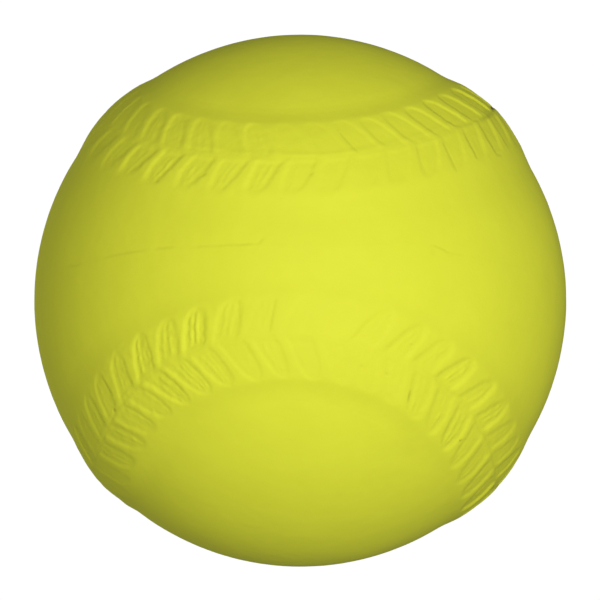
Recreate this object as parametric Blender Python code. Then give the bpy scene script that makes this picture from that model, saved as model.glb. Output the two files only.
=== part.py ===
"""Foam baseball, moulded in polyurethane foam with a dense skin.

The ball is a sphere of closed-cell foam inside a thin moulded skin. The skin
carries the outline of a sewn ball: two figure-eight panels, parted by one
endless raised seam band with a groove along its middle. The mould was made in
two halves, and its parting plane runs lengthwise along the middle of the top
panel and straight across the waist of the bottom panel. Each mould half thus
holds half of the top panel, half of the length of the seam band, and one lobe
of the bottom panel. The rear half is the front half turned half a turn about Z.

Frame: origin at the ball's centre, +Z out through the waist of the top panel,
+X along that panel, parting plane at y = 0. Units are metres.
"""

import math

import bmesh
import bpy
from mathutils import Vector

# ------------------------------------------------------------ driving sizes
BALL_RADIUS = 0.0365        # over the smooth panels: 73 mm across, 229 mm round
SKIN = 0.0012               # dense skin of the moulding
GAP = 0.0003                # clearance between neighbouring skin pieces
CORE_GAP = 0.00042          # clearance between the foam and the skin
SEAM_HALF_WIDTH = 0.0076    # from the middle groove to either foot of the band
SEAM_RISE = 0.00096         # crest of the band above the panels
GROOVE_DROP = 0.00042       # depth of the middle groove below the crest
GROOVE_HALF_WIDTH = 0.0007

# Shape of the seam line, as harmonics of its angle t before it is laid on the
# sphere: (third, fifth) in the XY plane, (second, sixth) along Z.
SEAM_XY = (0.538, 0.0045)
SEAM_Z = (1.351, 0.0295)

# ------------------------------------------------------------ fineness
SIDE_STEPS = 8              # steps along the seam at each end of a top panel half
TOP_STEPS = 44              # steps along the seam between those ends
LOBE_SIDE_STEPS = 24        # steps along either side of a lobe
LOBE_TOP_STEPS = 12         # steps round the head of a lobe
CORE_SUBDIVISIONS = 4

SEAM_STEPS = TOP_STEPS + 2 * SIDE_STEPS
T_START = math.radians(135.0)   # the seam crosses the parting plane here
T_END = math.radians(315.0)     # and here, half the seam further on
INNER_RADIUS = BALL_RADIUS - SKIN
YELLOW = (0.66, 0.72, 0.03, 1.0)
FOAM_YELLOW = (0.72, 0.74, 0.16, 1.0)


# ------------------------------------------------------------ seam geometry
def seam_point(t):
    """Unit vector to the middle of the seam at angle t."""
    third, fifth = SEAM_XY
    second, sixth = SEAM_Z
    x = math.cos(t) + third * math.cos(3 * t) + fifth * math.cos(5 * t)
    y = math.sin(t) - third * math.sin(3 * t) + fifth * math.sin(5 * t)
    z = second * math.sin(2 * t) + sixth * math.sin(6 * t)
    turn = math.sqrt(0.5)
    return Vector(((x - y) * turn, (x + y) * turn, z)).normalized()


def beside_seam(t, distance):
    """Unit vector to the point at this arc distance from the seam at t.
    Positive distances lie on the top panel, negative ones on the bottom panel."""
    here = seam_point(t)
    along = (seam_point(t + 1e-4) - seam_point(t - 1e-4)).normalized()
    side = here.cross(along).normalized()
    angle = distance / BALL_RADIUS
    return here * math.cos(angle) + side * math.sin(angle)


def start_angle(distance):
    """The seam angle near T_START at which the line at this distance from the
    seam comes within half a gap of the parting plane."""
    low, high = T_START, T_START + 0.2
    for _ in range(50):
        middle = (low + high) / 2
        if -beside_seam(middle, distance).y * BALL_RADIUS < GAP / 2:
            low = middle
        else:
            high = middle
    return high


def band_angles(distance, steps):
    """Evenly spaced seam angles over the front half, stopping short of the
    parting plane at both ends."""
    first = start_angle(distance)
    last = T_START + T_END - first
    return [first + (last - first) * i / steps for i in range(steps + 1)]


def on_parting_plane(azimuth):
    """Unit vector half a gap in front of the parting plane, at this angle about Y."""
    back = GAP / 2 / BALL_RADIUS
    across = math.sqrt(1 - back * back)
    return Vector((across * math.cos(azimuth), -back, across * math.sin(azimuth)))


def seam_height(distance):
    """Height of the band above the panels at this distance from its middle."""
    share = min(1.0, abs(distance) / SEAM_HALF_WIDTH)
    dome = SEAM_RISE * (1 - share**1.8) ** 0.9
    groove = GROOVE_DROP * math.exp(-((distance / GROOVE_HALF_WIDTH) ** 2))
    return dome - groove


# ------------------------------------------------------------ patches, (u, v) in 0..1
def polar(direction):
    """Azimuth about Y and angle from -Y of a direction on the front half."""
    azimuth = math.atan2(direction.z, direction.x)
    if azimuth < -math.pi / 2:
        azimuth += 2 * math.pi
    return azimuth, math.acos(-direction.y)


def top_half_patch():
    """Half of the top panel, between the band's upper foot and the parting plane.
    The band's foot makes three of its sides, because it meets that plane squarely."""
    edge = SEAM_HALF_WIDTH + GAP
    foot = [polar(beside_seam(t, edge)) for t in band_angles(edge, SEAM_STEPS)]
    head = foot[SIDE_STEPS : SIDE_STEPS + TOP_STEPS + 1]
    left = foot[SIDE_STEPS::-1]
    right = foot[SIDE_STEPS + TOP_STEPS :]
    plane_angle = polar(on_parting_plane(0.0))[1]

    def place(u, v):
        i, j = round(u * TOP_STEPS), round(v * SIDE_STEPS)
        share = (head[i][0] - head[0][0]) / (head[-1][0] - head[0][0])
        far = left[-1][0] + (right[-1][0] - left[-1][0]) * share
        azimuth = head[i][0] * (1 - v) + far * v
        angle = head[i][1] * (1 - v) + plane_angle * v
        for side, nearness in ((left, 1 - u / 0.25), (right, 1 - (1 - u) / 0.25)):
            if nearness > 0:
                chord = [side[0][k] * (1 - v) + side[-1][k] * v for k in (0, 1)]
                azimuth += (side[j][0] - chord[0]) * nearness**2
                angle += (side[j][1] - chord[1]) * nearness**2
        return BALL_RADIUS * Vector(
            (
                math.sin(angle) * math.cos(azimuth),
                -math.cos(angle),
                math.sin(angle) * math.sin(azimuth),
            )
        )

    return place


def lobe_patch():
    """One lobe of the bottom panel, from the parting plane across its waist to the
    head of the lobe. The band's lower foot makes the other three sides."""
    edge = -(SEAM_HALF_WIDTH + GAP)
    steps = 2 * LOBE_SIDE_STEPS + LOBE_TOP_STEPS
    foot = [beside_seam(t, edge) for t in band_angles(edge, steps)]
    left = foot[: LOBE_SIDE_STEPS + 1]
    head = foot[LOBE_SIDE_STEPS : LOBE_SIDE_STEPS + LOBE_TOP_STEPS + 1]
    right = foot[: LOBE_SIDE_STEPS + LOBE_TOP_STEPS - 1 : -1]
    first, last = polar(left[0])[0], polar(right[0])[0] + 2 * math.pi
    waist = [
        on_parting_plane(first + (last - first) * i / LOBE_TOP_STEPS)
        for i in range(LOBE_TOP_STEPS + 1)
    ]

    def place(u, v):
        i, j = round(u * LOBE_TOP_STEPS), round(v * LOBE_SIDE_STEPS)
        between = waist[i] * (1 - v) + head[i] * v + left[j] * (1 - u) + right[j] * u
        corners = (left[0] * (1 - u) + right[0] * u) * (1 - v)
        corners += (left[-1] * (1 - u) + right[-1] * u) * v
        return BALL_RADIUS * (between - corners).normalized()

    return place


# Points across the band, as shares of its half width, closer together by the groove.
BAND_SHARES = (-1.0, -0.84, -0.64, -0.4, -0.2, -0.08, 0.0, 0.08, 0.2, 0.4, 0.64, 0.84, 1.0)


def band_patch():
    """The raised seam band over half its length."""
    angles = band_angles(0.0, SEAM_STEPS)

    def place(u, v):
        i, j = round(u * SEAM_STEPS), round(v * (len(BAND_SHARES) - 1))
        distance = BAND_SHARES[j] * SEAM_HALF_WIDTH
        return beside_seam(angles[i], distance) * (BALL_RADIUS + seam_height(distance))

    return place


# ------------------------------------------------------------ solids
def skin_mesh(name, columns, rows, place):
    """A grid laid on the ball by place(u, v), thickened inwards to the foam."""
    bm = bmesh.new()
    bmesh.ops.create_grid(bm, x_segments=columns, y_segments=rows, size=0.5)
    for vertex in bm.verts:
        vertex.co = place(vertex.co.x + 0.5, vertex.co.y + 0.5)
    inside = bmesh.ops.duplicate(bm, geom=bm.verts[:] + bm.edges[:] + bm.faces[:])
    for item in inside["geom"]:
        if isinstance(item, bmesh.types.BMVert):
            item.co = item.co.normalized() * INNER_RADIUS
    rims = [edge for edge in bm.edges if edge.is_boundary]
    bmesh.ops.bridge_loops(bm, edges=rims)
    bmesh.ops.recalc_face_normals(bm, faces=bm.faces[:])
    mesh = bpy.data.meshes.new(name)
    bm.to_mesh(mesh)
    bm.free()
    mesh.shade_smooth()
    mesh.set_sharp_from_angle(angle=math.radians(40))
    return mesh


def core_mesh(name):
    bm = bmesh.new()
    bmesh.ops.create_icosphere(
        bm, subdivisions=CORE_SUBDIVISIONS, radius=INNER_RADIUS - CORE_GAP
    )
    mesh = bpy.data.meshes.new(name)
    bm.to_mesh(mesh)
    bm.free()
    mesh.shade_smooth()
    return mesh


def material(name, colour, roughness):
    made = bpy.data.materials.new(name)
    made.use_nodes = True
    shader = made.node_tree.nodes["Principled BSDF"]
    shader.inputs["Base Color"].default_value = colour
    shader.inputs["Roughness"].default_value = roughness
    shader.inputs["Metallic"].default_value = 0.0
    return made


def add(name, mesh, colour, roughness, parent, collection, turn=0.0):
    piece = bpy.data.objects.new(name, mesh)
    collection.objects.link(piece)
    piece.parent = parent
    piece.rotation_euler = (0.0, 0.0, turn)
    if not mesh.materials:
        mesh.materials.append(None)
    piece.material_slots[0].link = "OBJECT"
    piece.material_slots[0].material = material(name, colour, roughness)
    return piece


def main():
    for old in list(bpy.data.objects):
        bpy.data.objects.remove(old, do_unlink=True)
    collection = bpy.data.collections.new("Foam baseball")
    bpy.context.scene.collection.children.link(collection)
    centre = bpy.data.objects.new("ball_centre", None)
    centre.empty_display_size = BALL_RADIUS / 4
    collection.objects.link(centre)

    add("foam_core", core_mesh("foam_core"), FOAM_YELLOW, 0.9, centre, collection)
    halves = (
        (
            "top_panel_front_half",
            "top_panel_rear_half",
            skin_mesh("top_panel_half", TOP_STEPS, SIDE_STEPS, top_half_patch()),
        ),
        (
            "bottom_panel_front_lobe",
            "bottom_panel_rear_lobe",
            skin_mesh("bottom_panel_lobe", LOBE_TOP_STEPS, LOBE_SIDE_STEPS, lobe_patch()),
        ),
        (
            "front_seam_band",
            "rear_seam_band",
            skin_mesh("seam_band", SEAM_STEPS, len(BAND_SHARES) - 1, band_patch()),
        ),
    )
    for front, rear, mesh in halves:
        add(front, mesh, YELLOW, 0.5, centre, collection)
        add(rear, mesh, YELLOW, 0.5, centre, collection, turn=math.pi)


main()
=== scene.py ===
"""Looks of a foam baseball: a moulded yellow skin with a stitched seam in relief.

Lengths are in millimetres until a mesh is made. The frame is the frame of the
solids: origin at the ball's centre, +Z out through the waist of the top panel,
+X along that panel, mould parting plane at y = 0.

The seam is one endless line on the ball. A point beside it has two coordinates:
s, the way along the line, and d, the distance from it, which is positive on
the top panel's side and negative on the bottom panel's side.
"""

import math

import bpy
import numpy as np
from mathutils import Matrix, Vector
from mathutils.kdtree import KDTree


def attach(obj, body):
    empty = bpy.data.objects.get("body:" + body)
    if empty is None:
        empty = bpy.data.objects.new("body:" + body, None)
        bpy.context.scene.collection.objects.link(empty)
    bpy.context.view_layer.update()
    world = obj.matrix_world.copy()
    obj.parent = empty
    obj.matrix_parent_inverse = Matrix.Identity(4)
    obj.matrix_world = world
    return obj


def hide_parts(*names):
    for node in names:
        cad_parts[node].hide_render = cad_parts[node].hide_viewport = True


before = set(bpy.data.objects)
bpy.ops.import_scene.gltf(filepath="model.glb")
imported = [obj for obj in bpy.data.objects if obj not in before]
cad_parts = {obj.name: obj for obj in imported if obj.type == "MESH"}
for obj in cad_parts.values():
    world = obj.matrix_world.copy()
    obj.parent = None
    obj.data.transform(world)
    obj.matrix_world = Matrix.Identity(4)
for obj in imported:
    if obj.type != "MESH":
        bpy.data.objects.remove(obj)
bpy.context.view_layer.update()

# ------------------------------------------------------------------ sizes, mm
R = 36.5
SKIN = 1.2
CORE_GAP = 0.42
BAND = 7.6                  # from the middle of the seam to either foot of the band
TRIM = 0.15                 # how far the back of a skin piece stays off its edges
SEAM_XY = (0.538, 0.0045)
SEAM_Z = (1.351, 0.0295)

# Fineness: steps along half the seam, across the band, and down the sides of the panels
ALONG, TOP_SIDE, LOBE_SIDE, COARSE = 1000, 100, 400, 4

# The stitches that the photograph shows, as (place along the seam, depth in
# hundredths of a millimetre). The rest follow at an even pitch of about 4.6.
TOP_ROW_FRONT = (
    (196.7, 14), (201.3, 10), (205.9, 7), (210.5, 7), (215.1, 21), (219.8, 6.2), (224.55, 10),
    (229.1, 9.5), (233.95, 13), (238.65, 19), (243.05, 15.5), (247.15, 26), (251.75, 12.7),
    (256.15, 3.6), (260.85, 5), (265.55, 5), (270.3, 15), (275.05, 17.5), (279.35, 13.5),
    (283.75, 22), (288.75, 21), (293.65, 18.5), (298.4, 14.5), (302.95, 10.8), (307.55, 17.5),
)
TOP_ROW_REAR = (
    (17.0, 16.5), (21.85, 14), (26.75, 8.6), (31.5, 13.5), (36.35, 9.8), (40.6, 8.5),
    (45.1, 10.5), (49.55, 12.5), (53.95, 14.5), (58.5, 13.5), (63.0, 15), (67.9, 20),
    (72.55, 16.5), (76.95, 12), (82.05, 12.8), (86.7, 9), (91.3, 11), (95.9, 14),
)
LOW_ROW_FRONT = (
    (197.6, 14), (202.2, 10), (206.8, 7), (211.4, 5.5), (216.05, 6.5), (221.1, 10), (226.0, 12.5),
    (230.45, 13.2), (235.1, 12), (239.5, 17), (243.7, 14), (247.95, 13.2), (252.6, 9.5),
    (257.05, 9.6), (261.8, 9.5), (266.4, 6), (271.0, 5), (275.6, 7), (280.45, 13),
    (285.05, 14.5), (289.85, 19), (294.5, 15.5), (299.0, 15), (303.7, 19), (308.85, 27),
)
LOW_ROW_REAR = (
    (12.7, 25), (18.05, 16), (22.8, 17.5), (27.55, 14), (32.05, 10.7), (36.4, 9.7),
    (40.65, 7.5), (45.15, 4.5), (50.15, 4.5), (55.2, 15), (59.55, 8.3), (64.0, 9.8),
    (68.8, 13.8), (73.45, 11), (78.35, 9), (83.05, 7.5), (87.7, 8), (92.3, 10), (96.9, 14),
)

# How gently the near and the far wall of a stitch slope, at places along the seam: 1 is
# crisp. One list for the row on the top panel and one for the row on the bottom panel.
TOP_WALLS = (
    (8, 1.9, 1.1), (22, 1.7, 1.0), (31, 1.1, 1.0), (58, 1.1, 1.0), (66, 1.5, 1.1), (73, 2.2, 1.1),
    (84, 3.0, 1.3), (110, 1.3, 1.2), (195, 1.4, 1.3), (218, 1.5, 1.6), (226, 1.3, 1.4),
    (230, 1.1, 1.2), (238, 1.0, 1.1), (250, 1.2, 1.3), (280, 1.3, 1.2), (289, 1.6, 1.3),
    (296, 2.0, 1.1), (307, 2.1, 1.2), (330, 1.2, 1.2), (390, 1.2, 1.2),
)
LOW_WALLS = (
    (8, 1.0, 1.3), (20, 1.0, 1.1), (30, 1.0, 1.0), (50, 1.3, 1.0), (54, 2.4, 0.75),
    (57, 2.0, 0.75), (60, 1.2, 1.0), (69, 2.2, 1.1), (84, 2.9, 1.2), (110, 1.3, 1.2),
    (195, 1.4, 1.3), (217, 1.3, 1.5), (224, 1.4, 1.5), (230, 1.4, 1.3), (238, 1.0, 1.0),
    (246, 0.85, 0.85), (258, 0.85, 0.85), (280, 1.5, 1.4), (290, 1.4, 1.1), (298, 2.1, 1.15),
    (308, 2.2, 1.2), (330, 1.2, 1.2), (390, 1.2, 1.2),
)

# Nicks left in the band by the mould: from (s, d) to (s, d), half width, depth, and
# how dark the painted shade in them is.
NICKS = (
    (253.8, 1.6, 254.2, 5, 0.13, 0.04, 0.1), (257.6, 0.6, 258.5, 4.7, 0.13, 0.045, 0.12),
    (279.7, -3.2, 280.4, -4.4, 0.19, 0.12, 0.31), (293.2, -3.2, 293.4, -3.1, 0.15, 0.15, 0.39),
    (229.35, 0.35, 229.6, 0.35, 0.2, 0.13, 0.34), (231.2, 1.6, 231.6, 4.6, 0.15, 0.06, 0.16),
    (270.7, -2.7, 270.9, -2.7, 0.15, 0.03, 0.08), (274.8, -2.5, 275, -2.5, 0.16, 0.045, 0.12),
    (276.2, 2.4, 276.4, 2.4, 0.15, 0.03, 0.08), (48.2, 2.3, 48.5, 2.6, 0.15, 0.045, 0.12),
    (68.1, 4.8, 68.3, 4.9, 0.18, 0.06, 0.16), (61.9, 2.8, 62.2, 3.1, 0.16, 0.05, 0.13),
    (4.9, -0.62, 7.7, -0.58, 0.32, 0.09, 1), (7.8, -0.5, 9.6, -0.2, 0.2, 0.12, 0.45),
    (18.2, 5.7, 19.4, 5.4, 0.16, 0.06, 0.16), (19.4, 5.4, 19.5, 2, 0.15, 0.05, 0.13),
    (23.6, 1.5, 24.3, 4.6, 0.15, 0.06, 0.16), (28.6, 1.2, 29.1, 5.4, 0.14, 0.055, 0.14),
    (41.9, -0.4, 43.4, -3.6, 0.14, 0.045, 0.12), (291.8, -4.0, 292.2, -5.2, 0.42, 0.06, 0),
    (287.3, -4.5, 287.5, -5.0, 0.42, 0.05, 0), (286.1, 4.3, 286.2, 4.9, 0.3, 0.04, 0),
    (290.6, 3.8, 290.8, 4.8, 0.3, 0.04, 0), (311.5, -0.5, 313.5, -0.7, 0.4, 0.06, 0.3),
    (9.6, 0, 17, 0.2, 0.45, 0.06, 0.25),
)

# How high the crest of the band stands, at places along the seam, and how domed
# its section is there: 0 is flat between steep feet, 1 is one even arch.
CRESTS = (
    (5, 1.03, 1.0), (22, 0.72, 0.7), (38, 0.58, 0.4), (62, 0.58, 0.4), (80, 0.66, 0.6),
    (97, 0.77, 1.0), (155, 0.75, 1.0), (206, 0.62, 1.0), (222, 0.60, 0.8), (236, 0.58, 0.45),
    (250, 0.54, 0.1), (270, 0.52, 0.1), (290, 0.60, 0.2), (305, 0.72, 0.6), (317, 0.82, 1.0),
    (363, 0.82, 1.0),
)
REACH = 9.2                 # how far from the middle of the seam its swell still lifts a panel

# How wide the swell is, as a share of its usual width, at places along the seam
WIDTHS = (
    (84, 1.0), (92, 0.86), (104, 0.86), (125, 1.0), (180, 1.0), (196, 0.72), (208, 0.72),
    (217, 0.95), (224, 1.0), (330, 1.0),
)

# How far the moulded seam strays from its even course, at places along it
DRIFT = (
    (5, 0.4), (16, 0.1), (26, 0.0), (84, 0.0), (91, -0.8), (97, -1.5), (105, -1.7),
    (120, -0.9), (140, 0.0), (170, 0.0), (188, 1.7), (199, 3.1), (206, 3.0), (213, 1.6),
    (221, 0.35), (229, 0.0), (301, 0.0), (308, 0.4), (314, 1.2), (320, 1.8), (327, 1.8),
    (338, 1.0), (352, 0.0), (375, 0.0), (400, 0.2),
)

# How clearly the strands of thread show in the stitches, at places along the seam
THREADS = (
    (10, 0.12), (40, 0.18), (48, 0.50), (68, 0.55), (78, 0.22), (95, 0.15), (150, 0.5),
    (213, 0.25), (228, 0.75), (236, 0.95), (250, 0.95), (265, 0.45), (284, 0.60), (298, 0.45),
    (312, 0.25), (370, 0.5),
)

# How rough the moulded thread is, at places along the seam
ROUGH = (
    (8, 0.8), (22, 0.8), (40, 0.8), (58, 1.1), (66, 1.6), (74, 1.6), (82, 0.8), (110, 0.9),
    (213, 0.8), (226, 1.2), (234, 1.9), (242, 1.9), (252, 1.3), (270, 1.2), (282, 1.0),
    (287, 1.3), (292, 1.2), (299, 0.8), (370, 0.9),
)

# Faint stains: the direction, the size and the strength of each
SMUDGES = (
    ((0.431, -0.683, 0.590), 1.6, 0.05),
    ((0.543, -0.006, 0.840), 0.55, 0.04),
)

# How clearly the crease along the middle of the band shows, at places along it, and
# how far it lies from the middle there
CREASE = (
    (4, 0.1, -0.60), (9, 1.5, -0.22), (16, 1.0, -0.13), (26, 0.15, -0.25), (40, 0.1, -0.22),
    (56, 0.05, -0.1), (64, 0.15, 0), (74, 0.1, 0), (90, 0.2, 0), (150, 0.5, 0), (213, 0.8, 0),
    (232, 0.6, 0),
    (244, 0.2, 0), (256, 0.1, 0), (276, 0.1, 0), (284, 0.4, 0), (300, 0.7, 0), (315, 0.9, 0),
    (370, 0.5, 0),
)

# A faint ridge beside the crease, on the bottom panel's side: its height in hundredths
# of a millimetre at places along the seam, and how far it lies from the middle there
RIDGE = (
    (16, 0, -0.8), (24, 3.5, -1.05), (36, 4, -0.9), (46, 4, -0.35), (50, 5, -0.6),
    (56, 5.5, -0.85), (59, 5, -0.85), (61.5, 5, -1.25), (66, 4, -1.1), (74, 0, -0.9),
)

# The mould's parting line shows on the top panel as dashes: the middle of each and
# half its length, as shares of the ball's radius along X, and how clear it is
DASHES = (
    (-0.805, 0.030, 0.70), (-0.625, 0.050, 1.20), (-0.550, 0.034, 0.80), (-0.444, 0.034, 0.75),
    (-0.300, 0.028, 0.75), (-0.250, 0.030, 0.35), (-0.160, 0.070, 0.85), (0.568, 0.030, 0.90),
    (0.620, 0.030, 0.25),
)


# ------------------------------------------------------------------ small tools
def ramp(x):
    """0 below -0.5, 1 above 0.5, smooth between."""
    x = np.clip(x + 0.5, 0, 1)
    return x * x * x * (x * (6 * x - 15) + 10)


def bell(x):
    return np.exp(-x * x)


def table(x, xs, ys):
    """Smooth monotone curve through the points (xs, ys)."""
    xs, ys = np.asarray(xs, float), np.asarray(ys, float)
    h, slope = np.diff(xs), np.diff(ys) / np.diff(xs)
    m = np.zeros(len(xs))
    same = slope[1:] * slope[:-1] > 0
    w1, w2 = 2 * h[1:] + h[:-1], h[1:] + 2 * h[:-1]
    with np.errstate(divide="ignore", invalid="ignore"):
        mean = (w1 + w2) / (w1 / slope[:-1] + w2 / slope[1:])
    m[1:-1] = np.where(same, mean, 0.0)
    k = np.clip(np.searchsorted(xs, x) - 1, 0, len(h) - 1)
    t = np.clip((x - xs[k]) / h[k], 0, 1)
    return (
        ys[k] * (1 + 2 * t) * (1 - t) ** 2
        + ys[k + 1] * t * t * (3 - 2 * t)
        + h[k] * m[k] * t * (1 - t) ** 2
        - h[k] * m[k + 1] * t * t * (1 - t)
    )


def scatter(index, seed):
    """Even, repeatable numbers from 0 to 1 for whole-number indices."""
    x = (np.asarray(index, np.int64) * 374761393 + seed * 668265263) & 0xFFFFFFFF
    x = ((x ^ (x >> 13)) * 1274126177) & 0xFFFFFFFF
    x = ((x ^ (x >> 16)) * 2246822519) & 0xFFFFFFFF
    return ((x ^ (x >> 15)) & 0xFFFFFF) / float(0x1000000)


def noise(p, size, seed):
    """Smooth noise from -1 to 1 at points p, with features of this size."""
    q = p / size
    cell = np.floor(q).astype(np.int64)
    f = q - cell
    f = f * f * f * (f * (6 * f - 15) + 10)
    total = 0.0
    for dx in (0, 1):
        for dy in (0, 1):
            for dz in (0, 1):
                lattice = (
                    (cell[..., 0] + dx) * 73856093
                    ^ (cell[..., 1] + dy) * 19349663
                    ^ (cell[..., 2] + dz) * 83492791
                )
                weight = (
                    (f[..., 0] if dx else 1 - f[..., 0])
                    * (f[..., 1] if dy else 1 - f[..., 1])
                    * (f[..., 2] if dz else 1 - f[..., 2])
                )
                total = total + weight * (2 * scatter(lattice, seed) - 1)
    return total


def noise_line(x, size, seed):
    """Smooth noise from -1 to 1 along a line."""
    q = np.asarray(x) / size
    cell = np.floor(q).astype(np.int64)
    f = q - cell
    f = f * f * (3 - 2 * f)
    return (2 * scatter(cell, seed) - 1) * (1 - f) + (2 * scatter(cell + 1, seed) - 1) * f


# ------------------------------------------------------------------ seam line
def seam_line(t):
    third, fifth = SEAM_XY
    second, sixth = SEAM_Z
    x = np.cos(t) + third * np.cos(3 * t) + fifth * np.cos(5 * t)
    y = np.sin(t) - third * np.sin(3 * t) + fifth * np.sin(5 * t)
    z = second * np.sin(2 * t) + sixth * np.sin(6 * t)
    turn = math.sqrt(0.5)
    p = np.stack([(x - y) * turn, (x + y) * turn, z], -1)
    return p / np.linalg.norm(p, axis=-1, keepdims=True)


ANGLES = np.linspace(0, 2 * np.pi, 20001)
STEPS = np.linalg.norm(np.diff(seam_line(ANGLES), axis=0), axis=1)
WAYS = np.concatenate([[0.0], np.cumsum(STEPS)]) * R
LOOP = float(WAYS[-1])
START = float(np.interp(math.radians(135), ANGLES, WAYS))  # where the front half begins


def round_the_seam(s, places, values):
    """Values given at places along the seam, run smoothly together round the whole loop."""
    order = np.argsort(np.mod(places, LOOP))
    x, y = np.mod(places, LOOP)[order], np.asarray(values, float)[order]
    x = np.concatenate([x[-2:] - LOOP, x, x[:2] + LOOP])
    return table(np.mod(s, LOOP), x, np.concatenate([y[-2:], y, y[:2]]))


def sideways(here, along, d):
    """From these points of a line on the ball, a distance d square to the line."""
    along = along / np.linalg.norm(along, axis=-1, keepdims=True)
    angle = (np.asarray(d) / R)[..., None]
    return here * np.cos(angle) + np.cross(here, along) * np.sin(angle)


def course(t):
    """Unit vectors to the moulded seam, with its drift."""
    places, drift = np.array(DRIFT).T
    s = np.interp(np.mod(t, 2 * np.pi), ANGLES, WAYS)
    ahead = seam_line(t + 1e-4) - seam_line(t - 1e-4)
    return sideways(seam_line(t), ahead, round_the_seam(s, places, drift))


def beside(s, d):
    """Unit vectors to the points at s along the seam and d beside it."""
    t = np.interp(np.mod(s, LOOP), WAYS, ANGLES)
    return sideways(course(t), course(t + 2e-3) - course(t - 2e-3), d)


# ------------------------------------------------------------------ the stitches
def whole_row(front, rear, seed):
    """Places and depths of all the stitches of one row round the whole seam, in order."""
    first, second = np.array(rear), np.array(front)
    found = [first]
    for before, after in ((first[-1, 0], second[0, 0]), (second[-1, 0], first[0, 0] + LOOP)):
        count = round((after - before) / 4.611)
        which = np.arange(1, count)
        place = before + (after - before) * which / count
        place = place + 0.22 * (2 * scatter(which, seed + len(found)) - 1)
        depth = 17 + 4 * (2 * scatter(which, seed + 7 + len(found)) - 1)
        found.append(np.stack([place, depth], -1))
        if len(found) == 2:
            found.append(second)
    row = np.concatenate(found) * (1, 0.01)
    row[:, 0] = np.mod(row[:, 0], LOOP)
    return row[np.argsort(row[:, 0])]


TOP_ROW = whole_row(TOP_ROW_FRONT, TOP_ROW_REAR, 11)
LOW_ROW = whole_row(LOW_ROW_FRONT, LOW_ROW_REAR, 23)


def stitches(s, d, row, walls, sign, seed):
    """How far one row of stitches sinks the surface at points (s, d). A stitch is a
    finger-shaped hollow that leans back from the seam, with strands of thread in it."""
    a = np.maximum(sign * d, 0.0)
    count = len(row)
    ring = np.concatenate([row[-3:] - (LOOP, 0), row, row[:3] + (LOOP, 0)])
    nearest = np.searchsorted(ring[:, 0], np.mod(s, LOOP))
    out = a - 1.0
    if sign > 0:
        near_lean, far_lean = out * (0.43 + 0.027 * out), out * (0.40 - 0.048 * out)
        half, closing, tip, pull = 1.68, 4.0, 5.65, 0.66
    else:
        near_lean, far_lean = out * (0.37 + 0.042 * out), out * (0.56 - 0.050 * out)
        half, closing, tip, pull = 1.70, 4.7, 6.0, 0.58
    places, near_wall, far_wall = np.array(walls).T
    near_wall = round_the_seam(s, places, near_wall)
    far_wall = round_the_seam(s, places, far_wall)
    sunk = np.zeros(s.shape)
    for step in (-3, -2, -1, 0):
        k = np.clip(nearest + step, 0, len(ring) - 1)
        which = np.mod(k - 3, count)
        vary = [2 * scatter(which, seed + i) - 1 for i in range(9)]
        deep = ring[k, 1]
        # The top row's stitches run out softly at their tips on the rear half.
        faint = ramp((100 - np.abs(ring[k, 0] - 6)) / 20) if sign > 0 else 0.0
        x = np.mod(s, LOOP) - ring[k, 0]
        near = near_lean * (1 + 0.06 * vary[0]) - half * (1 + 0.05 * vary[1])
        far = far_lean * (1 + 0.08 * vary[2]) + half * (1 + 0.05 * vary[1])
        end = tip + 0.15 * vary[3] - 0.10 * faint
        shut = np.clip((a - closing) / (end - closing), 0, 1)
        shut = (far - near) * (1 - np.sqrt(1 - shut * shut)) * (1 - 0.6 * faint)
        wobble = 0.09 * noise_line(a + 31.7 * which, 0.9, seed + 20)
        wobble = wobble + 0.05 * noise_line(a + 31.7 * which, 0.38, seed + 21)
        left = x - near - pull * shut + wobble
        right = far - (1 - pull) * shut - x + wobble
        soft = 1 + 0.5 * ramp((a - 4.2) / 2.4)
        inside = (
            ramp(left / (0.74 * soft * near_wall))
            * ramp(right / (0.88 * soft * far_wall))
            * (0.40 + 0.60 * ramp((a - 0.55) / 1.0))
            * ramp((end - 0.25 - 0.35 * faint - a) / (1.5 + 0.8 * faint))
        )
        width = np.maximum(left + right, 0.3)
        strands = 0.0
        fray = np.clip(round_the_seam(ring[k, 0], *np.array(ROUGH).T) - 0.8, 0, 1)
        for place, size, i in ((0.33, 1.0, 4), (0.63, 0.9, 5), (0.82, 0.5 * fray, 6)):
            along = a + 17.3 * which + 5.0 * i
            stray = 0.15 * noise_line(along, 1.3, seed + 30 + i)
            stray = stray + 0.07 * noise_line(along, 0.5, seed + 40 + i)
            off = left - (place + 0.05 * vary[i]) * width + stray
            beads = 0.64 + (0.36 + 0.16 * fray) * noise_line(along, 0.50, seed + i)
            strand = np.clip(size * (0.75 + 0.7 * vary[i + 2]), 0, 1)
            thick = 0.20 + 0.05 * noise_line(along, 0.8, seed + 50 + i)
            strands = np.maximum(strands, strand * beads * bell(off / thick))
        strands = strands * ramp((a - 0.9) / 0.9) * ramp((end - 0.6 - a) / 1.2)
        strands = strands * round_the_seam(ring[k, 0], *np.array(THREADS).T)
        sunk = np.maximum(sunk, 0.97 * deep * inside * (1 - strands))
    return sunk


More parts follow.
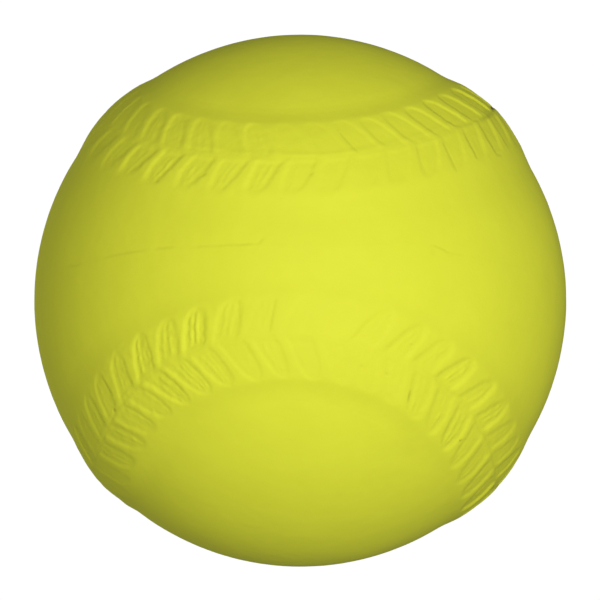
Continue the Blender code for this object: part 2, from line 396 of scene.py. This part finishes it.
def swell(s, d):
    """The soft swell that carries the stitches."""
    places, widths = np.array(WIDTHS).T
    a = np.abs(d) / round_the_seam(s, places, widths)
    steps = (0, 1, 2, 3, 4, 4.5, 5, 5.5, 5.8, 6.2, 6.6, 7, 7.5, 8, 8.6, REACH)
    arch_top = (
        1, 0.965, 0.90, 0.81, 0.70, 0.64, 0.58, 0.51, 0.465, 0.395, 0.33, 0.26, 0.18, 0.11,
        0.04, 0,
    )
    arch_low = (
        1, 0.975, 0.92, 0.845, 0.75, 0.70, 0.645, 0.58, 0.535, 0.45, 0.36, 0.275, 0.165, 0.08,
        0.025, 0,
    )
    flat_top = (
        1, 0.99, 0.975, 0.955, 0.92, 0.88, 0.81, 0.68, 0.58, 0.43, 0.30, 0.20, 0.11, 0.055,
        0.02, 0,
    )
    flat_low = (
        1, 0.995, 0.985, 0.97, 0.95, 0.935, 0.91, 0.865, 0.82, 0.70, 0.55, 0.40, 0.25, 0.13,
        0.045, 0,
    )
    places, crests, domed = np.array(CRESTS).T
    domed = round_the_seam(s, places, domed)
    arch = np.where(d > 0, table(a, steps, arch_top), table(a, steps, arch_low))
    flat = np.where(d > 0, table(a, steps, flat_top), table(a, steps, flat_low))
    return (arch * domed + flat * (1 - domed)) * round_the_seam(s, places, crests)


def nicks(s, d):
    """Depth of the nicks, and how much painted shade darkens them."""
    depth, painted_shade_and_stain = np.zeros(s.shape), np.zeros(s.shape)
    for s0, d0, s1, d1, half, deep, dark in NICKS:
        x, y = np.mod(s - s0 + LOOP / 2, LOOP) - LOOP / 2, d - d0
        dx, dy = s1 - s0, d1 - d0
        length = math.hypot(dx, dy)
        along = np.clip((x * dx + y * dy) / length**2, 0, 1)
        shape = bell(np.hypot(x - along * dx, y - along * dy) / half)
        shape = shape * (1 - 0.4 * np.abs(2 * along - 1) * ramp((length - 1) / 1))
        depth = np.maximum(depth, deep * shape)
        painted_shade_and_stain = np.maximum(painted_shade_and_stain, dark * shape)
    return depth, painted_shade_and_stain


def band_relief(s, d):
    """Height of the seam band above the panels, in millimetres, and the painted shade in its nicks
    and crease.
    """
    top = stitches(s, d, TOP_ROW, TOP_WALLS, 1, 100)
    low = stitches(s, d, LOW_ROW, LOW_WALLS, -1, 200)
    places, clear, aside = np.array(CREASE).T
    wander = 0.22 * noise_line(s, 2.3, 31) + 0.10 * noise_line(s, 9.0, 32)
    wander = wander + round_the_seam(s, places, aside)
    share = ramp((d - wander) / 0.9)
    both = np.concatenate([TOP_ROW, LOW_ROW])
    both = both[np.argsort(both[:, 0])]
    smooth = sum(np.roll(both[:, 1], i) for i in range(-3, 4)) / 7
    worked = round_the_seam(s, both[:, 0], smooth)
    crease = 0.75 * worked * round_the_seam(s, places, clear)
    crease = crease * np.clip(0.65 + 0.5 * noise_line(s, 3.0, 34), 0, 1) * bell((d - wander) / 0.30)
    q = beside(s, d) * R
    rough = 0.10 * noise(q, 0.8, 36) + 0.05 * noise(q, 0.5, 37)
    lumps = 0.13 * noise(q, 1.7, 35) + rough * round_the_seam(s, *np.array(ROUGH).T)
    lumps = lumps * worked * ramp((5.6 - np.abs(d)) / 2.0)
    places, high, aside = np.array(RIDGE).T
    ridge = 0.01 * round_the_seam(s, places, high)
    ridge = ridge * bell((d - round_the_seam(s, places, aside)) / 0.42)
    deep, painted_shade_and_stain = nicks(s, d)
    height = swell(s, d) - top * share - low * (1 - share) + lumps + ridge - crease - deep
    # Painted shade darkens the nicks and the crease, more where the crease is deeper.
    return height, np.maximum(painted_shade_and_stain, 0.8 * crease)


# ------------------------------------------------------------------ the moulded surface
def parting(p):
    """The line that the mould's parting plane leaves along both panels: the rear half of
    the mould stood a hair low, so the surface steps down there and recovers behind it.
    The second result is painted shade along the line and its hook."""
    x, y = p[..., 0], p[..., 1] * R
    off = table(
        x,
        (-1, -0.83, -0.79, -0.645, -0.47, -0.40, -0.335, -0.24, -0.10, 0.2)
        + (0.50, 0.545, 0.56, 0.58, 0.597, 0.65, 1),
        (0.8, 0.8, 0.54, 0.58, 0.57, 0.40, 0.22, 0.20, 0.11, 0)
        + (0.98, 0.93, 0.75, 0.52, 0.22, 0.12, 0),
    )
    off = off + 0.05 * noise_line(x * R, 4.0, 41) + 0.03 * noise_line(x * R, 1.1, 42)
    seen = sum(clear * bell(((x - middle) / half) ** 2) for middle, half, clear in DASHES)
    seen = seen * (0.62 + 0.25 * noise_line(x * R, 1.7, 44))
    under = 0.30 + 0.20 * noise_line(x * R, 6.0, 43)
    top = p[..., 2] > 0
    seen = np.where(top, 0.05 + seen, under)
    past = y - np.where(top, off, 0.0)
    step = 0.060 * seen * ramp(past / 0.50) * np.exp(-np.maximum(past, 0) / 3.0)
    hook = bell((x + 0.088 - 0.017 * (y - 0.16)) / 0.006) * bell((y - 0.62) / 0.42)
    hook = np.where(top, hook, 0.0)
    # Painted shade along the parting line and its hook.
    return -step - 0.05 * hook, 0.10 * seen * bell(past / 0.22) + 0.10 * hook


def surface(p):
    """What every part of the moulded skin shares: soft unevenness and the parting line, with
    painted shade along that line and faint stains.
    """
    q = p * R
    uneven = (
        0.022 * noise(q, 9.0, 51)
        + 0.012 * noise(q, 3.4, 52)
        + 0.0080 * noise(q, 1.3, 53)
        + 0.0042 * noise(q, 0.7, 54)
    )
    line, painted_shade_and_stain = parting(p)
    for place, size, dark in SMUDGES:
        stain = dark * bell(np.linalg.norm(p - place, axis=-1) * R / size)
        painted_shade_and_stain = np.maximum(painted_shade_and_stain, stain)
    return uneven + line, painted_shade_and_stain


# ------------------------------------------------------------------ patches
def polar(p):
    azimuth = np.arctan2(p[..., 2], p[..., 0])
    azimuth = np.where(azimuth < -np.pi / 2, azimuth + 2 * np.pi, azimuth)
    return azimuth, np.arccos(np.clip(-p[..., 1], -1, 1))


# The two halves of the mould: where each begins along the seam, and the half turn
# about Z that carries the front half's place to it.
HALVES = (
    ("front", START, np.array([1.0, 1.0, 1.0])),
    ("rear", START + LOOP / 2, np.array([-1.0, -1.0, 1.0])),
)


def half_way(start, trim, steps):
    return np.linspace(start + trim, start + LOOP / 2 - trim, steps + 1)


def top_half(foot, trim, side):
    """Directions to half of the top panel: rows from the band's foot to the parting plane."""
    azimuth, angle = polar(foot)
    wide = len(foot) - 1 - 2 * side
    head = slice(side, side + wide + 1)
    left, right = slice(side, None, -1), slice(side + wide, None)
    u = np.linspace(0, 1, wide + 1)[None, :]
    v = 1 - np.linspace(1, 0, side + 1)[:, None] ** 1.3
    share = (azimuth[head] - azimuth[side]) / (azimuth[side + wide] - azimuth[side])
    far = azimuth[0] + (azimuth[-1] - azimuth[0]) * share
    az = azimuth[head] * (1 - v) + far * v
    an = angle[head] * (1 - v) + (np.pi / 2 - trim / R) * v
    for edge_of, near in ((left, 1 - u / 0.25), (right, 1 - (1 - u) / 0.25)):
        near = np.clip(near, 0, 1) ** 2
        for whole, values in ((az, azimuth[edge_of]), (an, angle[edge_of])):
            whole += (values[:, None] - values[0] * (1 - v) - values[-1] * v) * near
    return np.stack([np.sin(an) * np.cos(az), -np.cos(an), np.sin(an) * np.sin(az)], -1)


def lobe(foot, trim, side):
    """Directions to one lobe of the bottom panel: rows from the parting plane to its head."""
    wide = len(foot) - 1 - 2 * side
    left, right = foot[: side + 1], foot[: side + wide - 1 : -1]
    head = foot[side : side + wide + 1]
    ends = polar(left[0])[0], polar(right[0])[0] + 2 * np.pi
    azimuth = np.linspace(*ends, wide + 1)
    back = trim / R
    waist = np.stack(
        [
            np.sqrt(1 - back * back) * np.cos(azimuth),
            np.full(wide + 1, -back),
            np.sqrt(1 - back * back) * np.sin(azimuth),
        ],
        -1,
    )
    u = np.linspace(0, 1, wide + 1)[None, :, None]
    v = np.linspace(0, 1, side + 1)[:, None, None]
    p = waist[None] * (1 - v) + head[None] * v + left[:, None] * (1 - u) + right[:, None] * u
    p = p - (left[0] * (1 - u) + right[0] * u) * (1 - v)
    p = p - (left[-1] * (1 - u) + right[-1] * u) * v
    return p / np.linalg.norm(p, axis=-1, keepdims=True)


def band_rows():
    """Distances across the band, closer together by the groove."""
    outer = np.linspace(0.8, BAND, 35)
    inner = np.linspace(0, 0.8, 9)[:-1]
    half = np.concatenate([inner, outer])
    return np.concatenate([-half[:0:-1], half])


# ------------------------------------------------------------------ meshes
def outline(rows, columns):
    """Indices round the edge of a grid of (rows + 1) x (columns + 1) points."""
    at = np.arange((rows + 1) * (columns + 1)).reshape(rows + 1, columns + 1)
    return np.concatenate([at[0, :-1], at[:-1, -1], at[-1, :0:-1], at[:0:-1, 0]])


def grid_faces(rows, columns):
    at = np.arange((rows + 1) * (columns + 1)).reshape(rows + 1, columns + 1)
    return np.stack([at[:-1, :-1], at[:-1, 1:], at[1:, 1:], at[1:, :-1]], -1).reshape(-1, 4)


def mesh_of(name, points, quads, triangles):
    """A Blender mesh from points in millimetres."""
    mesh = bpy.data.meshes.new(name)
    corners = np.concatenate([quads.ravel(), triangles.ravel()]).astype(np.int32)
    starts = np.concatenate(
        [np.arange(len(quads)) * 4, len(quads) * 4 + np.arange(len(triangles)) * 3]
    ).astype(np.int32)
    mesh.vertices.add(len(points))
    mesh.vertices.foreach_set("co", (points * 0.001).astype(np.float32).ravel())
    mesh.loops.add(len(corners))
    mesh.loops.foreach_set("vertex_index", corners)
    mesh.polygons.add(len(starts))
    mesh.polygons.foreach_set("loop_start", starts)
    mesh.update(calc_edges=True)
    mesh.validate()
    mesh.shade_smooth()
    mesh.set_sharp_from_angle(angle=math.radians(62))
    return mesh


def shell(name, outer, inner, painted_shade_and_stain):
    """A closed skin piece: a fine outer grid, a coarser inner one, and a rim between them."""
    rows, columns = outer.shape[0] - 1, outer.shape[1] - 1
    few_rows, few_columns = inner.shape[0] - 1, inner.shape[1] - 1
    front = grid_faces(rows, columns)
    back = grid_faces(few_rows, few_columns)[:, ::-1]
    points = np.concatenate([outer.reshape(-1, 3), inner.reshape(-1, 3)])
    offset = outer.shape[0] * outer.shape[1]
    fine, coarse = outline(rows, columns), outline(few_rows, few_columns) + offset
    ratio = len(fine) // len(coarse)
    rim = []
    for step in range(ratio):
        a = fine.reshape(-1, ratio)[:, step]
        b = np.roll(fine, -1).reshape(-1, ratio)[:, step]
        rim.append(np.stack([b, a, coarse if step < ratio // 2 else np.roll(coarse, -1)], -1))
    middle = fine.reshape(-1, ratio)[:, ratio // 2]
    rim.append(np.stack([middle, coarse, np.roll(coarse, -1)], -1))
    rim = np.concatenate(rim)
    quads = np.concatenate([front, back + offset])
    corner = points[front[0]]
    if np.dot(np.cross(corner[1] - corner[0], corner[2] - corner[0]), corner[0]) < 0:
        quads, rim = quads[:, ::-1], rim[:, ::-1]
    mesh = mesh_of(name, points, quads, rim)
    # The painted shade and the stains, kept on the points of the outer grid.
    shade_and_stain_mask = np.concatenate([painted_shade_and_stain.ravel(), np.zeros(len(points) - offset)])
    mesh.attributes.new("shade_and_stain_mask", "FLOAT", "POINT").data.foreach_set(
        "value", np.clip(shade_and_stain_mask, 0, 1).astype(np.float32)
    )
    return mesh


def lifted(p, height):
    return p * (R + height)[..., None]


def seam_finder():
    """Finds the seam coordinates s and |d| of directions that lie off the seam."""
    count = 8000
    ways = np.arange(count) * LOOP / count
    line = beside(ways, np.zeros(count))
    tree = KDTree(count)
    for i, p in enumerate(line):
        tree.insert(p, i)
    tree.balance()

    def find(p):
        flat = p.reshape(-1, 3)
        found = [tree.find(q)[1:] for q in flat]
        index, chord = (np.array(v) for v in zip(*found))
        away = 2 * np.arcsin(np.clip(chord / 2, 0, 1)) * R
        return ways[index].reshape(p.shape[:-1]), away.reshape(p.shape[:-1])

    return find


def skin_pieces():
    """The six moulded skin pieces, as (mesh, node that it stands for, slot)."""
    made = []
    rows = band_rows()
    few = rows[::COARSE] * (BAND - TRIM) / BAND
    find = seam_finder()
    panels = (
        ("top_panel_{}_moulded", "top_panel_{}_half", 1, top_half, TOP_SIDE),
        ("bottom_panel_{}_moulded", "bottom_panel_{}_lobe", -1, lobe, LOBE_SIDE),
    )
    for half, start, turn in HALVES:
        for name, node, sign, patch, side in panels:
            foot = beside(half_way(start, 0.0, ALONG), np.full(ALONG + 1, sign * BAND))
            p = patch(foot * turn, 0.0, side) * turn
            s, away = find(p)
            shared, painted_shade_and_stain = surface(p)
            outer = lifted(p, swell(s, sign * away) + shared)
            steps = ALONG // COARSE
            foot = beside(half_way(start, TRIM, steps), np.full(steps + 1, sign * (BAND + TRIM)))
            inner = patch(foot * turn, TRIM, side // COARSE) * turn * (R - SKIN)
            mesh = shell(name.format(half), outer, inner, painted_shade_and_stain)
            made.append((mesh, node.format(half), "panel_skin"))
        s, d = np.meshgrid(half_way(start, 0.0, ALONG), rows)
        p = beside(s, d)
        (relief, painted_shade_and_stain), (shared, more) = band_relief(s, d), surface(p)
        outer = lifted(p, relief + shared)
        s, d = np.meshgrid(half_way(start, TRIM, ALONG // COARSE), few)
        inner = beside(s, d) * (R - SKIN)
        mesh = shell(f"{half}_seam_stitched", outer, inner, np.maximum(painted_shade_and_stain, more))
        made.append((mesh, f"{half}_seam_band", "seam_skin"))
    return made


def foam_ball():
    """The foam inside, with the small open cells of its surface."""
    radius = R - SKIN - CORE_GAP
    bpy.ops.mesh.primitive_ico_sphere_add(subdivisions=7, radius=0.001, location=(0, 0, 0))
    ball = bpy.context.object
    co = np.empty(len(ball.data.vertices) * 3, np.float32)
    ball.data.vertices.foreach_get("co", co)
    p = co.reshape(-1, 3).astype(float)
    p /= np.linalg.norm(p, axis=1, keepdims=True)
    cells = noise(p * radius, 1.5, 61) * 0.6 + noise(p * radius, 0.8, 62) * 0.4
    depth = -0.20 * ramp((cells - 0.25) / 0.35) - 0.03 * (1 + noise(p * radius, 6.0, 63))
    co = p * (radius + depth)[:, None] * 0.001
    ball.data.vertices.foreach_set("co", co.astype(np.float32).ravel())
    ball.data.update()
    ball.data.shade_smooth()
    ball.name = ball.data.name = "foam_ball_cellular"
    return ball


# ------------------------------------------------------------------ materials
def node_of(tree, kind, where, **inputs):
    made = tree.nodes.new(kind)
    made.location = where
    for name, value in inputs.items():
        made.inputs[name.replace("_", " ")].default_value = value
    return made


def skin_material(name, light, dark, rough):
    """Dense moulded foam skin: an even, strong yellow with faint clouding, fine grain and
    pores, painted shade in its creases, nicks and parting line, and faint stains."""
    made = bpy.data.materials.new(name)
    made.use_nodes = True
    tree = made.node_tree
    shader = tree.nodes["Principled BSDF"]
    shader.inputs["Metallic"].default_value = 0.0
    shader.inputs["Specular IOR Level"].default_value = 0.08
    shader.inputs["IOR"].default_value = 1.46
    place = node_of(tree, "ShaderNodeTexCoord", (-1200, 0))
    clouds = node_of(
        tree, "ShaderNodeTexNoise", (-950, 250), Scale=140.0, Detail=6.0, Roughness=0.68
    )
    grain = node_of(
        tree, "ShaderNodeTexNoise", (-950, 0), Scale=2600.0, Detail=3.0, Roughness=0.6
    )
    pores = node_of(tree, "ShaderNodeTexVoronoi", (-950, -250), Scale=900.0, Randomness=1.0)
    tint = tree.nodes.new("ShaderNodeValToRGB")
    tint.location = (-700, 250)
    tint.color_ramp.elements[0].position = 0.30
    tint.color_ramp.elements[0].color = (*dark, 1.0)
    tint.color_ramp.elements[1].position = 0.70
    tint.color_ramp.elements[1].color = (*light, 1.0)
    shine = node_of(tree, "ShaderNodeMapRange", (-700, 0))
    shine.inputs["From Min"].default_value = 0.3
    shine.inputs["From Max"].default_value = 0.7
    shine.inputs["To Min"].default_value = rough - 0.05
    shine.inputs["To Max"].default_value = rough + 0.05
    pit = node_of(tree, "ShaderNodeMapRange", (-700, -250))
    pit.inputs["From Min"].default_value = 0.0
    pit.inputs["From Max"].default_value = 0.16
    mixed = node_of(tree, "ShaderNodeMath", (-480, -120))
    mixed.operation = "MULTIPLY_ADD"
    bump = node_of(tree, "ShaderNodeBump", (-260, -120), Strength=0.25, Distance=0.00004)
    for texture in (clouds, grain, pores):
        tree.links.new(place.outputs["Object"], texture.inputs["Vector"])
    tree.links.new(clouds.outputs["Fac"], tint.inputs["Fac"])
    # Painted shade and stains darken the yellow towards a near-black olive.
    shade_and_stain_mask = tree.nodes.new("ShaderNodeAttribute")
    shade_and_stain_mask.location = (-700, 500)
    shade_and_stain_mask.attribute_name = "shade_and_stain_mask"
    shaded_and_stained = tree.nodes.new("ShaderNodeMix")
    shaded_and_stained.location = (-400, 300)
    shaded_and_stained.data_type = "RGBA"
    for socket in shaded_and_stained.inputs:
        if socket.type == "RGBA" and socket.name == "B":
            socket.default_value = (0.07, 0.07, 0.009, 1.0)
        if socket.type == "RGBA" and socket.name == "A":
            tree.links.new(tint.outputs["Color"], socket)
    tree.links.new(shade_and_stain_mask.outputs["Fac"], shaded_and_stained.inputs[0])
    for socket in shaded_and_stained.outputs:
        if socket.type == "RGBA":
            tree.links.new(socket, shader.inputs["Base Color"])
    tree.links.new(clouds.outputs["Fac"], shine.inputs["Value"])
    tree.links.new(shine.outputs["Result"], shader.inputs["Roughness"])
    tree.links.new(pores.outputs["Distance"], pit.inputs["Value"])
    tree.links.new(pit.outputs["Result"], mixed.inputs[0])
    mixed.inputs[1].default_value = 0.5
    tree.links.new(grain.outputs["Fac"], mixed.inputs[2])
    tree.links.new(mixed.outputs["Value"], bump.inputs["Height"])
    tree.links.new(bump.outputs["Normal"], shader.inputs["Normal"])
    return made


def foam_material():
    """Cut foam: paler and quite dull, with cells of many sizes."""
    made = bpy.data.materials.new("open_foam")
    made.use_nodes = True
    tree = made.node_tree
    shader = tree.nodes["Principled BSDF"]
    shader.inputs["Specular IOR Level"].default_value = 0.15
    place = node_of(tree, "ShaderNodeTexCoord", (-1200, 0))
    cells = node_of(tree, "ShaderNodeTexVoronoi", (-950, 200), Scale=1100.0, Randomness=1.0)
    cloud = node_of(tree, "ShaderNodeTexNoise", (-950, -100), Scale=300.0, Detail=5.0)
    tint = tree.nodes.new("ShaderNodeValToRGB")
    tint.location = (-700, 200)
    tint.color_ramp.elements[0].color = (0.52, 0.54, 0.07, 1.0)
    tint.color_ramp.elements[1].position = 0.5
    tint.color_ramp.elements[1].color = (0.78, 0.80, 0.22, 1.0)
    shine = node_of(tree, "ShaderNodeMapRange", (-700, -100))
    shine.inputs["To Min"].default_value = 0.8
    shine.inputs["To Max"].default_value = 1.0
    bump = node_of(tree, "ShaderNodeBump", (-400, -200), Strength=0.6, Distance=0.0003)
    for texture in (cells, cloud):
        tree.links.new(place.outputs["Object"], texture.inputs["Vector"])
    tree.links.new(cells.outputs["Distance"], tint.inputs["Fac"])
    tree.links.new(tint.outputs["Color"], shader.inputs["Base Color"])
    tree.links.new(cloud.outputs["Fac"], shine.inputs["Value"])
    tree.links.new(shine.outputs["Result"], shader.inputs["Roughness"])
    tree.links.new(cells.outputs["Distance"], bump.inputs["Height"])
    tree.links.new(bump.outputs["Normal"], shader.inputs["Normal"])
    return made


# ------------------------------------------------------------------ build the ball
panel_skin = skin_material("moulded_panel", (0.728, 0.763, 0.043), (0.700, 0.735, 0.040), 0.58)
seam_skin = skin_material("moulded_seam", (0.726, 0.761, 0.043), (0.698, 0.733, 0.040), 0.60)
for mesh, node, slot in skin_pieces():
    piece = bpy.data.objects.new(mesh.name, mesh)
    bpy.context.scene.collection.objects.link(piece)
    mesh.materials.append(seam_skin if slot == "seam_skin" else panel_skin)
    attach(piece, "root")
    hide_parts(node)

core = foam_ball()
core.data.materials.append(foam_material())
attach(core, "root")
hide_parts("foam_core")

# ------------------------------------------------------------------ camera
TILT = Vector((-0.2078, -0.0634, 0.0058))
to_camera = Matrix.Rotation(TILT.length, 3, TILT.normalized())
from_camera = to_camera.transposed()
across, up, towards = (from_camera.col[i].copy() for i in range(3))
DISTANCE = 40 * R * 0.001
PIXEL = R * 0.001 / 265.75
camera = bpy.data.objects.new("camera", bpy.data.cameras.new("camera"))
bpy.context.scene.collection.objects.link(camera)
camera.data.sensor_width = 36.0
camera.data.lens = 265.98 * math.sqrt(40.0**2 - 1) * 36.0 / 600.0
camera.data.clip_start, camera.data.clip_end = 0.1, 20.0
camera.matrix_world = Matrix.Translation(
    towards * DISTANCE - across * 0.20 * PIXEL + up * 0.66 * PIXEL
) @ from_camera.to_4x4()
bpy.context.scene.camera = camera


# ------------------------------------------------------------------ light and floor
def sun(name, direction, strength, angle):
    """A soft light from this direction, which points from the ball to the light."""
    lamp = bpy.data.objects.new(name, bpy.data.lights.new(name, "SUN"))
    bpy.context.scene.collection.objects.link(lamp)
    lamp.data.energy, lamp.data.angle = strength, math.radians(angle)
    lamp.rotation_mode = "QUATERNION"
    lamp.rotation_quaternion = direction.normalized().to_track_quat("Z", "Y")
    return lamp


sun("key", across * 0.180 + up * 0.018 + towards * 0.984, 2.80, 30.0)
fill = sun("under_fill", towards * -0.85 - across * 0.435 - up * 0.02, 1.53, 25.0)
fill.visible_glossy = False

world = bpy.data.worlds.new("studio")
bpy.context.scene.world = world
world.use_nodes = True
tree = world.node_tree
tree.nodes.clear()
soft = node_of(tree, "ShaderNodeBackground", (0, 0), Color=(1, 1, 1, 1), Strength=0.197)
seen = node_of(tree, "ShaderNodeBackground", (0, -150), Color=(1, 1, 1, 1), Strength=1.0)
path = node_of(tree, "ShaderNodeLightPath", (0, 300))
pick = node_of(tree, "ShaderNodeMixShader", (250, 0))
out = node_of(tree, "ShaderNodeOutputWorld", (450, 0))
tree.links.new(path.outputs["Is Camera Ray"], pick.inputs["Fac"])
tree.links.new(soft.outputs["Background"], pick.inputs[1])
tree.links.new(seen.outputs["Background"], pick.inputs[2])
tree.links.new(pick.outputs["Shader"], out.inputs["Surface"])

bpy.ops.mesh.primitive_plane_add(size=12.0, location=(0, 0, -R * 0.001))
floor = bpy.context.object
floor.name = "floor"
pale = bpy.data.materials.new("pale_floor")
pale.use_nodes = True
tree = pale.node_tree
tree.nodes.clear()
# The floor glows an even white, and ambient occlusion dims its glow next to the ball as a painted
# contact shadow.
painted_contact_shadow = node_of(tree, "ShaderNodeAmbientOcclusion", (-400, 0), Distance=0.009)
painted_contact_shadow.samples = 16
glow = node_of(tree, "ShaderNodeEmission", (0, 0), Strength=1.02)
out = node_of(tree, "ShaderNodeOutputMaterial", (250, 0))
tree.links.new(painted_contact_shadow.outputs["Color"], glow.inputs["Color"])
tree.links.new(glow.outputs["Emission"], out.inputs["Surface"])
floor.data.materials.append(pale)
floor.visible_diffuse = floor.visible_glossy = floor.visible_shadow = False

bpy.context.scene.view_settings.view_transform = "Standard"
bpy.context.scene.view_settings.look = "None"
